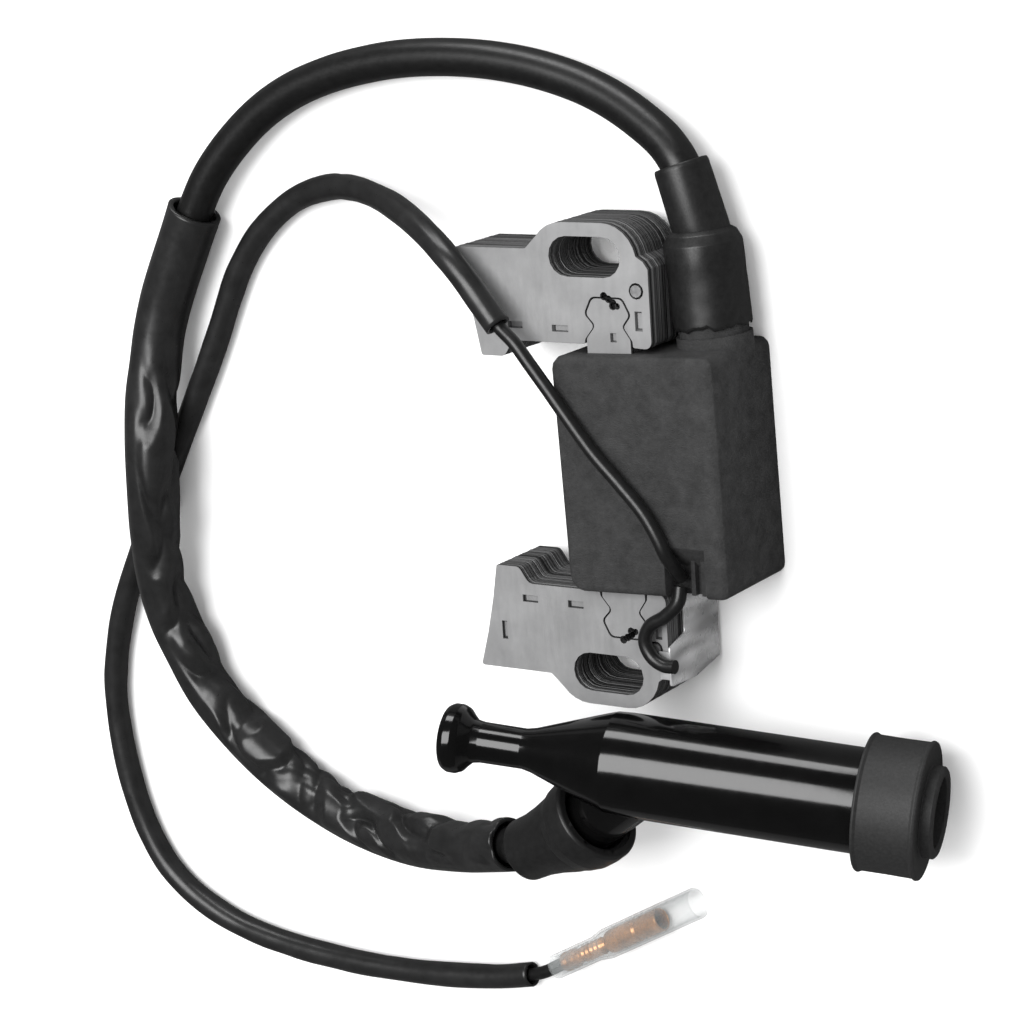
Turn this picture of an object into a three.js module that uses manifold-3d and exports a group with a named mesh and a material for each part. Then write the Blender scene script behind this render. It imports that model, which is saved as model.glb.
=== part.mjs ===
// Ignition coil of a small engine: a laminated U core with slotted mounting lugs, a potted coil
// and trigger case, a high-tension lead with its plug cap, and a stop wire with a bullet terminal.
// Millimetres, +Z up. The coil lies on its back on Z = 0, X points away from the flywheel, and the
// two mounting slots lie on X = 0, one at +Y and one at -Y.

import * as THREE from 'three';
import { mergeVertices } from 'three/addons/utils/BufferGeometryUtils.js';
import Module from 'manifold-3d';

const wasm = await Module();
wasm.setup();

// Driving dimensions
const GAP = 0.3;                 // clearance left between neighbouring pieces

const CORE_BACK = 3.45;          // Z of the rear lamination
const CORE_FRONT = 18.05;        // Z of the front lamination
const LUG_TOP = 44.1;            // Y of the lug's outer edge
const LEG_OUTER = 39.2;
const LEG_INNER = 22.5;
const CORE_RIGHT = 12.8;         // X of the face away from the flywheel
const POLE_CENTRE_X = -147.5;    // the flywheel's axis
const POLE_RADIUS = 126.2;
const SLOT_Y = 38;               // half of the mounting spacing
const SLOT_LENGTH = 14.5;
const SLOT_WIDTH = 7.1;
const YOKE_LEFT = -0.4;
const YOKE_RIGHT = 8.6;
const RIVET_X = 10.2;
const RIVET_Y = 32.3;
const RIVET_RADIUS = 1.1;

const CASE_WIDTH = 32.5;
const CASE_HEIGHT = 43;
const CASE_DEPTH = 21.5;
const CASE_X = 10.45;
const CASE_Y = -0.2;
const CASE_TURN = THREE.MathUtils.degToRad(1.8);
const CASE_WALL = 1.2;

const TOWER_X = 19.9;
const TOWER_Y = 21;
const TOWER_Z = 8;
const TOWER_LEAN = THREE.MathUtils.degToRad(5);
const BOOT_RADIUS = 6.95;
const BOOT_TIP_RADIUS = 4.95;
const BOOT_BEND = 21;            // distance along the tower at which the boot narrows and leans
const BOOT_TIP_LEAN = THREE.MathUtils.degToRad(17.4);

const LEAD_RADIUS = 3.5;
const LEAD_SLEEVE = { outer: 5.2, inner: 4.4 };
const WIRE_RADIUS = 1.25;
const WIRE_SLEEVE = { outer: 2.5, inner: 1.95 };

const CAP_JUNCTION = new THREE.Vector3(12.1, -52.9, 23.3);  // where barrel and spigot axes cross
const CAP_AXIS = new THREE.Vector3(0.973, -0.105, -0.2275).normalize();
const SPIGOT_AXIS = new THREE.Vector3(-0.785, -0.613, -0.085).normalize();
const BOOT_AXIS = new THREE.Vector3(-0.883, -0.461, -0.066).normalize();
const BARREL_RADIUS = 9.35;
const BARREL_BORE = 7.3;
const SPIGOT_RADIUS = 6;
const SPIGOT_END = 22.8;         // distances from the junction along the spigot
const BOOT_MOUTH = 17.6;
const BOOT_PIVOT = 22.5;         // where the soft boot bends off the spigot's axis

const BULLET_START = new THREE.Vector3(-25.3, -104.7, 3.1);
const BULLET_AXIS = new THREE.Vector3(0.871, 0.491, 0).normalize();
const COVER_LENGTH = 37.3;

const coil = new THREE.Group();

function paint(color, roughness, metalness = 0) {
  return new THREE.MeshStandardMaterial({ color, roughness, metalness });
}

function add(name, geometry, material) {
  const mesh = new THREE.Mesh(geometry, material);
  mesh.name = name;
  coil.add(mesh);
  return mesh;
}

// Solids and booleans

function toSolid(geometry) {
  const bare = geometry.clone();
  bare.deleteAttribute('normal');
  bare.deleteAttribute('uv');
  const merged = mergeVertices(bare, 1e-4);
  return new wasm.Manifold(new wasm.Mesh({
    numProp: 3,
    vertProperties: new Float32Array(merged.attributes.position.array),
    triVerts: new Uint32Array(merged.index.array),
  }));
}

function toGeometry(solid) {
  const mesh = solid.getMesh();
  const geometry = new THREE.BufferGeometry();
  geometry.setAttribute('position', new THREE.BufferAttribute(mesh.vertProperties, 3));
  geometry.setIndex(new THREE.BufferAttribute(mesh.triVerts, 1));
  return geometry;
}

function cut(body, ...tools) {
  return toGeometry(tools.reduce((rest, tool) => rest.subtract(toSolid(tool)), toSolid(body)));
}

function join(...parts) {
  const [first, ...others] = parts.map(toSolid);
  return toGeometry(others.reduce((whole, part) => whole.add(part), first));
}

function box(x0, x1, y0, y1, z0, z1) {
  return new THREE.BoxGeometry(x1 - x0, y1 - y0, z1 - z0)
    .translate((x0 + x1) / 2, (y0 + y1) / 2, (z0 + z1) / 2);
}

// Points of a closed outline through corners [x, y, radius], each corner rounded to its radius.
function rounded(corners) {
  const points = [];
  corners.forEach(([x, y, radius = 0], index) => {
    const corner = new THREE.Vector2(x, y);
    const before = new THREE.Vector2(...corners.at(index - 1).slice(0, 2)).sub(corner).normalize();
    const after = new THREE.Vector2(...corners[(index + 1) % corners.length].slice(0, 2));
    after.sub(corner).normalize();
    if (!radius) {
      points.push(corner);
      return;
    }
    const half = Math.acos(before.dot(after)) / 2;
    const inward = before.clone().add(after).normalize();
    const centre = corner.clone().addScaledVector(inward, radius / Math.sin(half));
    const turn = Math.PI - 2 * half;
    const side = Math.sign(before.cross(after));
    const steps = Math.max(2, Math.ceil(turn / (Math.PI / 6)));
    for (let step = 0; step <= steps; step += 1) {
      const angle = side * turn * (step / steps - 0.5);
      points.push(inward.clone().multiplyScalar(-radius).rotateAround(new THREE.Vector2(), -angle)
        .add(centre));
    }
  });
  return points;
}

function arc(x, y, radius, from, to, steps) {
  const points = [];
  for (let step = 0; step <= steps; step += 1) {
    const angle = THREE.MathUtils.degToRad(from + (to - from) * step / steps);
    points.push([x + radius * Math.cos(angle), y + radius * Math.sin(angle)]);
  }
  return points;
}

function plate(shape, low, high) {
  return new THREE.ExtrudeGeometry(shape, { depth: high - low, bevelEnabled: false })
    .translate(0, 0, low);
}

// A solid of revolution about +Z from a profile of [radius, z].
function turned(profile, segments = 24) {
  const points = profile.map(([radius, z]) => new THREE.Vector2(radius, z));
  return new THREE.LatheGeometry(points, segments).rotateX(Math.PI / 2);
}

// Moves a solid from the Z axis to start at origin and run along direction.
function aim(geometry, origin, direction) {
  const turn = new THREE.Quaternion().setFromUnitVectors(new THREE.Vector3(0, 0, 1), direction);
  return geometry.applyQuaternion(turn).translate(origin.x, origin.y, origin.z);
}

function ring(radius, sides) {
  return arc(0, 0, radius, 0, 360 * (sides - 1) / sides, sides - 1)
    .map(([x, y]) => new THREE.Vector2(x, y));
}

// A round tube or rod through the points of a route.
function tube(route, { outer, inner = 0 }, sides, steps) {
  const section = new THREE.Shape(ring(outer, sides));
  if (inner) {
    section.holes.push(new THREE.Path(ring(inner, sides)));
  }
  const path = new THREE.CatmullRomCurve3(route.map((point) => new THREE.Vector3(...point)));
  path.arcLengthDivisions = 2000;
  return new THREE.ExtrudeGeometry(section, { extrudePath: path, steps });
}

function along(origin, direction, distance) {
  return origin.clone().addScaledVector(direction, distance);
}

// Laminated core: two legs, keyed to a yoke that runs through the coil

const KNOB = [
  [YOKE_LEFT, 23.6, 0.8],
  [1.5, 25.9, 0.8],
  [-0.35, 27.9, 1],
  [1.1, 30.8, 1.2],
  [7.1, 30.8, 1.2],
  [8.6, 27.9, 1],
  [7, 25.9, 0.8],
  [YOKE_RIGHT, 23.6, 0.8],
];

function pocket() {
  const middle = (YOKE_LEFT + YOKE_RIGHT) / 2;
  const grow = 1.06;
  return KNOB.map(([x, y, radius]) => [
    middle + (x - middle) * grow, 27.5 + (y - 27.5) * grow, radius]);
}

function poleFace() {
  const points = [];
  for (const y of [39.2, 32.6, 26, 19.5]) {
    points.push([POLE_CENTRE_X + Math.sqrt(POLE_RADIUS ** 2 - y ** 2), y, 0.5]);
  }
  return points;
}

function legShape(side) {
  const corners = [
    ...poleFace(),
    [-17.9, 19.5, 1.2],
    [-15.9, LEG_INNER, 1.4],
    [-0.75, LEG_INNER, 0.4],
    ...pocket(),
    [8.95, 22.2, 0.4],
    [CORE_RIGHT, 22, 1.4],
    [CORE_RIGHT, 36.2, 0.4],
    [11.9, 37.5, 0.3],
    ...arc(3.7, LUG_TOP - 6.9, 6.9, 10, 90, 6),
    ...arc(-4.4, LUG_TOP - 6.9, 6.9, 90, 142, 4),
    [-12.2, LEG_OUTER, 1],
  ];
  const flip = (points) => {
    const flipped = points.map((point) => new THREE.Vector2(point.x, side * point.y));
    return side > 0 ? flipped : flipped.reverse();
  };
  const shape = new THREE.Shape(flip(rounded(corners)));
  const slotEnd = (SLOT_LENGTH - SLOT_WIDTH) / 2;
  const slot = [
    ...arc(slotEnd, SLOT_Y, SLOT_WIDTH / 2, -90, 90, 8),
    ...arc(-slotEnd, SLOT_Y, SLOT_WIDTH / 2, 90, 270, 8),
  ];
  shape.holes.push(new THREE.Path(flip(rounded(slot))));
  const rivetHole = arc(RIVET_X, RIVET_Y, RIVET_RADIUS + GAP, 0, 330, 11);
  shape.holes.push(new THREE.Path(flip(rounded(rivetHole))));
  return shape;
}

const steel = paint('#b9bbbd', 0.42, 0.85);
add('core_upper_leg', plate(legShape(1), CORE_BACK, CORE_FRONT), steel.clone());
add('core_lower_leg', plate(legShape(-1), CORE_BACK, CORE_FRONT), steel.clone());

const mirroredKnob = KNOB.map(([x, y, radius]) => [x, -y, radius]).reverse();
const yokeShape = new THREE.Shape(rounded([...KNOB, ...mirroredKnob]));
for (const side of [1, -1]) {
  const relief = arc(5.3, side * 29.5, 0.7, 0, 315, 7);
  yokeShape.holes.push(new THREE.Path(rounded(relief)));
}
add('core_yoke', plate(yokeShape, CORE_BACK, CORE_FRONT), steel.clone());

for (const [name, side] of [['upper', 1], ['lower', -1]]) {
  const pin = turned([[0, 0], [RIVET_RADIUS, 0], [RIVET_RADIUS, 14.9], [0, 14.9]], 12);
  add(`core_rivet_${name}`, pin.translate(RIVET_X, side * RIVET_Y, CORE_BACK - 0.15),
    paint('#8d8f91', 0.5, 0.8));
}

// Potted case with the high-tension tower, open at the back where the resin is poured

const towerBase = new THREE.Vector3(TOWER_X, TOWER_Y, TOWER_Z);
const towerAxis = new THREE.Vector3(-Math.sin(TOWER_LEAN), Math.cos(TOWER_LEAN), 0);

function casePlace(geometry) {
  return geometry.rotateZ(CASE_TURN).translate(CASE_X, CASE_Y, 0);
}

function caseBlock() {
  const x = CASE_WIDTH / 2;
  const y = CASE_HEIGHT / 2;
  const bevel = 1.4;
  const inset = [
    [-x + bevel, -y + bevel, 1.6], [x - bevel, -y + bevel, 0.6],
    [x - bevel, y - bevel, 0.6], [-x + bevel, y - bevel, 1.2],
  ];
  const block = new THREE.ExtrudeGeometry(new THREE.Shape(rounded(inset)), {
    depth: CASE_DEPTH, bevelThickness: bevel, bevelSize: bevel, bevelSegments: 3,
  });
  block.translate(0, 0, -bevel);
  return casePlace(cut(block, box(-30, 30, -30, 30, -10, 0)));
}

function caseChamber() {
  const x = CASE_WIDTH / 2 - CASE_WALL;
  const whole = casePlace(box(-x, x, -19, 19, -1, CASE_DEPTH - 0.95));
  return cut(whole, box(13.7, 30, -25, -11.8, 16.3, 25));
}

function wireNotch() {
  const side = [[-26, 17.3], [-16.4, 17.3], [-11.3, 22.4], [-11.3, 26], [-26, 26]];
  const shape = new THREE.Shape(side.map(([y, z]) => new THREE.Vector2(y, z)));
  const notch = plate(shape, 14.9, 23);
  const toYZ = new THREE.Matrix4().makeBasis(
    new THREE.Vector3(0, 1, 0), new THREE.Vector3(0, 0, 1), new THREE.Vector3(1, 0, 0));
  const ribs = [18.6, 20.6].map((rib) => box(rib, rib + 0.8, -30, -13, 10, 18.6));
  return cut(notch.applyMatrix4(toYZ), ...ribs);
}

function towerBody() {
  return aim(turned([
    [0, -2.2], [6.8, -2.2], [6.8, 2.5], [6.2, 2.5], [6.2, 5], [4.95, 5], [4.95, 12], [0, 12],
  ]), towerBase, towerAxis);
}

function towerBore() {
  return aim(turned([[0, -6], [1.25, -6], [1.25, 4], [3.9, 4], [3.9, 13], [0, 13]]),
    towerBase, towerAxis);
}

const yokePassage = box(YOKE_LEFT - GAP, YOKE_RIGHT + GAP, -30, 30,
  CORE_BACK - GAP, CORE_FRONT + GAP);
const legRelief = [-1, 1].map((side) => box(-30, CORE_RIGHT + 0.2,
  Math.min(side * 22.2, side * 60), Math.max(side * 22.2, side * 60), -5, 18.25));
add('coil_case', cut(join(caseBlock(), towerBody()), caseChamber(), towerBore(), wireNotch(),
  yokePassage, ...legRelief), paint('#3b3b3c', 0.75));

const resinHalf = CASE_WIDTH / 2 - CASE_WALL - GAP;
add('potting_resin', casePlace(box(-resinHalf, resinHalf, -18.7, 18.7, 0.2, 0.9)),
  paint('#1c1c1d', 0.35));

// Inside the case: bobbin, windings, trigger module and high-tension terminal

const TUBE = { x0: -0.7, x1: 8.9, z0: 3.15, z1: 18.35, wall: 0.6 };
const WINDING = { x0: -3.4, x1: 11.6, z0: 1.3, z1: 20.2 };

function aroundYoke(x0, x1, y0, y1, z0, z1) {
  return box(x0, x1, y0, y1, z0, z1);
}

function bobbin() {
  const { x0, x1, z0, z1, wall } = TUBE;
  const tubeWall = aroundYoke(x0 - wall, x1 + wall, -17.8, 17.8, z0 - wall, z1 + wall);
  const flanges = [-17.4, -2, 17.4].map((y) => aroundYoke(
    WINDING.x0 - 0.3, WINDING.x1 + 0.3, y - 0.4, y + 0.4, WINDING.z0 - 0.05, WINDING.z1 + 0.1));
  return cut(join(tubeWall, ...flanges), box(x0, x1, -20, 20, z0, z1));
}

function winding(y0, y1, depth) {
  const { x0, x1, z0, z1, wall } = TUBE;
  const inside = wall + GAP;
  const outside = aroundYoke(x0 - inside - depth, x1 + inside + depth, y0, y1,
    WINDING.z0, WINDING.z1);
  return cut(outside, box(x0 - inside, x1 + inside, y0 - 1, y1 + 1, z0 - inside, z1 + inside));
}

add('bobbin', bobbin(), paint('#e6e2d6', 0.6));
add('primary_winding', winding(-16.7, -2.7, 1.4), paint('#b5642f', 0.35, 0.8));
add('secondary_winding', winding(-1.3, 16.7, 1.7), paint('#a8552a', 0.4, 0.7));

add('module_board', box(14, 15.4, -11, 10, 2.5, 18.5), paint('#2f6b3c', 0.6));
add('power_transistor', box(15.7, 19.6, -10, 0, 5, 15), paint('#1f1f20', 0.5));
add('control_chip', box(15.7, 17.4, 2.5, 8, 10.5, 16.5), paint('#262627', 0.5));
add('ht_terminal', aim(turned([[0, -7], [0.9, -7], [0.9, 4.4], [0, 4.6]], 12),
  towerBase, towerAxis), paint('#b58a3f', 0.3, 0.9));

// Stepped rubber boot over the tower and the first bend of the lead

const bootBend = along(towerBase, towerAxis, BOOT_BEND);
const bootTipAxis = new THREE.Vector3(-Math.sin(BOOT_TIP_LEAN), Math.cos(BOOT_TIP_LEAN), 0);

function towerBoot() {
  const grip = aim(turned([
    [0, 2.9], [BOOT_RADIUS - 0.3, 2.9], [BOOT_RADIUS, 3.6], [BOOT_RADIUS, BOOT_BEND - 2.4],
    [BOOT_RADIUS - 0.9, BOOT_BEND - 0.7], [BOOT_TIP_RADIUS, BOOT_BEND], [0, BOOT_BEND],
  ]), towerBase, towerAxis);
  const tip = aim(turned([
    [0, -2], [BOOT_TIP_RADIUS - 0.1, -2], [BOOT_TIP_RADIUS, 1], [BOOT_TIP_RADIUS - 0.1, 11],
    [BOOT_TIP_RADIUS - 0.4, 11.8], [0, 11.8],
  ]), bootBend, bootTipAxis);
  const gripBore = aim(turned([
    [0, 2], [6.5, 2], [6.5, 5.3], [5.25, 5.3], [5.25, 12.4], [3.95, 12.6], [3.95, 21.5], [0, 21.5],
  ]), towerBase, towerAxis);
  const tipBore = aim(turned([
    [0, -1.2], [3.95, -1.2], [3.95, 7.5], [4.45, 12.5], [0, 12.5],
  ]), bootBend, bootTipAxis);
  const legSide = box(0, CORE_RIGHT + 0.25, 20, 39.5, -5, 25);
  return cut(join(grip, tip), gripBore, tipBore, legSide);
}

const rubber = paint('#232324', 0.55);
add('tower_boot', towerBoot(), rubber.clone());

// High-tension lead from the tower to the plug cap, with its loose sleeve

const bootPivot = along(CAP_JUNCTION, SPIGOT_AXIS, BOOT_PIVOT);
const funnelPoint = (distance) => along(bootPivot, BOOT_AXIS, distance).toArray();
const junctionPoint = (distance) => along(CAP_JUNCTION, SPIGOT_AXIS, distance).toArray();
const towerPoint = (distance) => along(towerBase, towerAxis, distance).toArray();
const tipPoint = (distance) => along(bootBend, bootTipAxis, distance).toArray();

const LEAD_OPEN = [
  [11.2, 56.6, 6.9],
  [5.9, 60.3, 5.8],
  [-0.3, 63.7, 4.8],
  [-6.5, 66.3, 4.2],
  [-13.3, 68.4, 3.9],
  [-20.2, 69.9, 3.7],
  [-28.6, 71, 3.6],
  [-37.3, 71.4, 3.6],
  [-46.4, 71.1, 3.6],
  [-54.2, 70.1, 3.6],
  [-62.3, 68.4, 3.7],
  [-71.4, 65.3, 4],
  [-79.2, 61, 4.4],
  [-86.6, 54.9, 4.9],
  [-92.1, 48.8, 5.3],
];
const LEAD_COVERED = [
  [-96.3, 42.2, 5.4],
  [-99.4, 36.3, 5.4],
  [-102.7, 29.9, 5.5],
  [-105.4, 24.1, 5.7],
  [-107.4, 17.6, 6.4],
  [-108.4, 11.3, 7.4],
  [-108.8, 5.5, 8.9],
  [-108.6, -3, 10.7],
  [-108.7, -9.4, 11.3],
  [-109.3, -16.2, 11],
  [-110.3, -22.8, 10],
  [-111.4, -33.4, 8],
  [-110.3, -41.2, 6.9],
  [-107.5, -48.4, 6],
  [-103.3, -56.2, 5.6],
  [-97.2, -62.9, 5.4],
  [-89.4, -69.2, 5.4],
  [-82.6, -73.5, 5.4],
  [-76, -76.7, 5.4],
  [-69.5, -79, 5.6],
  [-63, -80.3, 6.2],
  [-56.7, -80.8, 7.2],
  [-50.3, -80.5, 8.8],
  [-43.1, -79.4, 11],
  [-35.8, -77.8, 13.6],
  [-28.9, -75.8, 16],
  [-23.7, -74.2, 17.8],
];
const leadRoute = [
  towerPoint(5), towerPoint(12), towerPoint(18), tipPoint(0.5), tipPoint(6), tipPoint(11),
  ...LEAD_OPEN,
  ...LEAD_COVERED,
  funnelPoint(15.2), funnelPoint(8), junctionPoint(21), junctionPoint(15), junctionPoint(9.4),
];
add('ht_lead', tube(leadRoute, { outer: LEAD_RADIUS }, 12, 64), paint('#1d1d1e', 0.45));
add('ht_sleeve', tube(LEAD_COVERED, LEAD_SLEEVE, 12, 40), paint('#161617', 0.25));

// Plug cap: elbow-shaped cap with a rubber boot on the lead side and a rubber seal on the plug

const capPlace = (geometry) => aim(geometry, CAP_JUNCTION, CAP_AXIS);
const spigotPlace = (geometry) => aim(geometry, CAP_JUNCTION, SPIGOT_AXIS);

function capBody() {
  const shell = capPlace(turned([
    [0, -40.2], [5, -40.2], [6.35, -39], [6.35, -36.6], [5.2, -35.3], [3.8, -35], [3.7, -34],
    [3.7, -24.4], [4.2, -22.6], [8.6, -10.2], [9.2, -8.4], [BARREL_RADIUS, -6],
    [BARREL_RADIUS, 46.6], [BARREL_BORE, 46.6], [BARREL_BORE, 46.1], [0, 46.1],
  ], 32));
  const spigot = spigotPlace(turned([
    [0, 0], [SPIGOT_RADIUS, 0], [SPIGOT_RADIUS, SPIGOT_END - 0.8], [SPIGOT_RADIUS - 0.8, SPIGOT_END],
    [0, SPIGOT_END],
  ]));
  const bore = capPlace(turned([
    [0, -7.5], [4.5, -7.5], [BARREL_BORE, -4.5], [BARREL_BORE, 50], [0, 50]], 32));
  const leadBore = spigotPlace(turned([
    [0, 0], [LEAD_RADIUS + 0.35, 0], [LEAD_RADIUS + 0.35, 19], [LEAD_RADIUS + 0.9, 24], [0, 24],
  ]));
  return cut(join(shell, spigot), bore, leadBore);
}

add('cap_body', capBody(), paint('#0f0f10', 0.16));

add('cap_seal', capPlace(turned([
  [12, 38.1], [12, 48.7], [11.6, 49.1], [8.1, 49.1], [8.1, 51], [7.6, 51.4], [6.6, 51.4],
  [6.2, 51], [6.2, 47], [BARREL_RADIUS + GAP, 47], [BARREL_RADIUS + GAP, 38.1], [12, 38.1],
], 32)), rubber.clone());

function capBoot() {
  const mouth = along(CAP_JUNCTION, SPIGOT_AXIS, BOOT_MOUTH);
  const cup = aim(turned([
    [0, 0], [8.6, 0], [9.05, 0.5], [9.05, 2.5], [8.7, 5.5], [7.6, 7.5], [0, 7.5],
  ], 28), mouth, SPIGOT_AXIS);
  const funnel = aim(turned([
    [0, -1], [8.2, -1], [7.7, 3.5], [6.7, 7.5], [6.1, 11], [5.9, 15.2], [0, 15.2],
  ], 28), bootPivot, BOOT_AXIS);
  const socket = aim(turned([
    [0, -1], [SPIGOT_RADIUS + 0.7, -1], [SPIGOT_RADIUS + 0.35, 0.8], [SPIGOT_RADIUS + 0.35, 5.6],
    [0, 5.6],
  ], 28), mouth, SPIGOT_AXIS);
  const leadWay = aim(turned([
    [0, -1], [4.6, -1], [4.6, 10], [4.2, 16], [0, 16],
  ], 20), bootPivot, BOOT_AXIS);
  return cut(join(cup, funnel), socket, leadWay);
}

add('cap_boot', capBoot(), rubber.clone());

// Inside the cap: the screw that enters the lead, resistor, spring and plug contact

add('lead_screw', spigotPlace(turned([
  [0, -4.6], [3, -4.6], [3, -3.4], [1.3, -3.2], [1.3, 6.4], [0, 8.9],
], 12)), paint('#b58a3f', 0.35, 0.9));
add('resistor', capPlace(turned([
  [0, 6.4], [2.4, 6.4], [3.1, 7], [3.1, 22], [2.4, 22.6], [0, 22.6],
], 16)), paint('#8a6a4c', 0.7));

function contactSpring() {
  const turns = 5;
  const route = [];
  for (let step = 0; step <= turns * 10; step += 1) {
    const angle = step / 10 * 2 * Math.PI;
    route.push([2.4 * Math.cos(angle), 2.4 * Math.sin(angle), 23.4 + 6 * step / (turns * 10)]);
  }
  return tube(route, { outer: 0.35 }, 6, turns * 12);
}

add('contact_spring', capPlace(contactSpring()), paint('#9a9c9e', 0.3, 0.9));

function plugContact() {
  const clip = turned([
    [0, 30.2], [3.6, 30.2], [3.6, 40], [3.15, 40], [3.15, 31], [0, 31],
  ], 20);
  return capPlace(cut(clip, box(-0.5, 0.5, 0, 6, 32, 42)));
}

add('plug_contact', plugContact(), paint('#b58a3f', 0.35, 0.9));

// Ground strap on the core's side, and the short wire that the strap holds

function groundStrap() {
  const side = [
    [-21.95, 1], [-21.95, 13], [-30.2, 13.3, 0.5], [-31.6, 18.8], [-38.8, 18.8, 0.6],
    [-39.3, 10, 1], [-37.8, 1],
  ];
  const toYZ = new THREE.Matrix4().makeBasis(
    new THREE.Vector3(0, 1, 0), new THREE.Vector3(0, 0, 1), new THREE.Vector3(1, 0, 0));
  const flank = plate(new THREE.Shape(rounded(side)), CORE_RIGHT + GAP, CORE_RIGHT + 0.8);
  const tab = box(11.2, CORE_RIGHT + 0.8, -37.6, -32.4, CORE_FRONT + GAP, 18.8);
  return join(flank.applyMatrix4(toYZ), tab);
}

add('ground_strap', groundStrap(), paint('#c9cbcd', 0.25, 0.95));

const GROUND_ROUTE = [
  [16.6, -19.9, 19.1],
  [16.3, -22.6, 19.8],
  [13.6, -25.4, 20],
  [10.4, -27.5, 20],
  [9.2, -30.4, 20],
  [10.5, -33.1, 20.1],
  [12.9, -34.4, 20.3],
  [15.4, -34.4, 20.4],
];
add('ground_wire', tube(GROUND_ROUTE, { outer: WIRE_RADIUS }, 8, 20), paint('#1a1a1b', 0.4));

// Stop wire across the case and round to the bullet terminal, with its loose sleeve

const bulletPoint = (distance) => along(BULLET_START, BULLET_AXIS, distance).toArray();

const WIRE_OPEN = [
  [16.9, -18.2, 19.2],
  [16.7, -15.8, 21.2],
  [16, -13.2, 22.8],
  [15, -10.6, 23.1],
  [12.4, -6.3, 23.1],
  [7.7, -1.1, 23.1],
  [2.9, 3.8, 23.1],
  [-1.8, 9.6, 23.1],
  [-6, 15.1, 23.1],
  [-9.4, 19.4, 23.1],
  [-12.4, 23.1, 23],
];
const WIRE_COVERED = [
  [-15.8, 26, 22.7],
  [-19.2, 30, 22.4],
  [-22.2, 33.5, 22.1],
  [-26.5, 37.7, 21.4],
  [-32, 41, 18.9],
  [-40.9, 44, 13.4],
  [-47.6, 45.8, 9.8],
  [-55.6, 47.2, 6.4],
  [-62.9, 47.3, 4.2],
  [-69.5, 46, 3],
  [-74.7, 43.9, 2.7],
  [-80.1, 40.2, 2.6],
  [-84.4, 36.2, 2.6],
  [-88.7, 30.5, 2.6],
  [-92.2, 24, 2.6],
  [-95.4, 17.4, 2.6],
  [-98.9, 10.8, 2.6],
  [-103.3, 2.8, 2.6],
  [-107.9, -5.3, 2.6],
  [-111.8, -12.2, 2.6],
  [-116.2, -20.2, 2.6],
  [-120.7, -28.6, 2.6],
  [-124.4, -35.8, 2.6],
  [-127.3, -42.5, 2.6],
  [-129.6, -49.3, 2.6],
  [-131.1, -56, 2.6],
  [-131.7, -63, 2.6],
  [-131.4, -70.2, 2.6],
  [-130.4, -77.4, 2.6],
  [-128.7, -84.5, 2.6],
  [-126.2, -91.2, 2.6],
  [-122.5, -97.3, 2.6],
  [-117.1, -102.3, 2.6],
  [-109.5, -106.5, 2.6],
  [-100.4, -109.4, 2.6],
  [-88.8, -111.2, 2.6],
  [-76.1, -111.9, 2.6],
  [-63.5, -111.8, 2.6],
  [-51.2, -110.9, 2.6],
  [-39.1, -109.2, 2.6],
  [-31.2, -107.4, 2.7],
];
const stopRoute = [
  ...WIRE_OPEN,
  ...WIRE_COVERED,
  bulletPoint(-3), bulletPoint(1), bulletPoint(6.9),
];
add('stop_wire', tube(stopRoute, { outer: WIRE_RADIUS }, 8, 72), paint('#1a1a1b', 0.4));
add('stop_wire_sleeve', tube(WIRE_COVERED, WIRE_SLEEVE, 10, 56), paint('#161617', 0.3));

// Bullet terminal: insulation crimp, wire crimp and socket, in a clear push-back cover

add('bullet_terminal', aim(turned([
  [0, 7.3], [1.42, 7.3], [1.42, 2.7], [1.7, 2.7], [1.7, 7.5], [1.25, 8.1], [1.25, 14],
  [2.3, 15], [2.3, 28.3], [1.9, 28.3], [1.9, 16], [0, 16],
], 16), BULLET_START, BULLET_AXIS), paint('#b88a4a', 0.3, 0.9));

const cover = add('terminal_cover', aim(turned([
  [1.98, 0], [2.4, 0], [2.4, 11], [3, 14], [3, COVER_LENGTH], [2.6, COVER_LENGTH], [2.6, 14.2],
  [1.98, 11.2], [1.98, 0],
], 20), BULLET_START, BULLET_AXIS), paint('#dfe3e4', 0.2));
cover.material.transparent = true;
cover.material.opacity = 0.35;

export default coil;
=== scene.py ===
"""Looks of a small-engine ignition coil. Sizes are in millimetres until a mesh is made."""

import math
import random

import bmesh
import bpy
from mathutils import Matrix, Vector, noise
from mathutils.geometry import tessellate_polygon


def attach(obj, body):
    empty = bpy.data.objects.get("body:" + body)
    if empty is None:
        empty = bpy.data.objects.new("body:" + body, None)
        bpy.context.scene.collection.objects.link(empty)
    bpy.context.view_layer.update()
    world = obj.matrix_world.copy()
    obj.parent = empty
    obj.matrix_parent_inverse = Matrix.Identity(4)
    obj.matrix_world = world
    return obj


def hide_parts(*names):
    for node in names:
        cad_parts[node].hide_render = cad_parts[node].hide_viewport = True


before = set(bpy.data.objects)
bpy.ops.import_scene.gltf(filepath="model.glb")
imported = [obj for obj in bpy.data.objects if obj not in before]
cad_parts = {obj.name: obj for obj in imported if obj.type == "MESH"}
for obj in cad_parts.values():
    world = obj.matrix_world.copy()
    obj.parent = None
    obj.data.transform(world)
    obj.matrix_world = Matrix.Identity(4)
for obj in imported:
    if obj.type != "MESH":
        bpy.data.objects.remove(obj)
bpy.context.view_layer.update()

MM = 0.001

# Driving dimensions in millimetres, as in the CAD model

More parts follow.
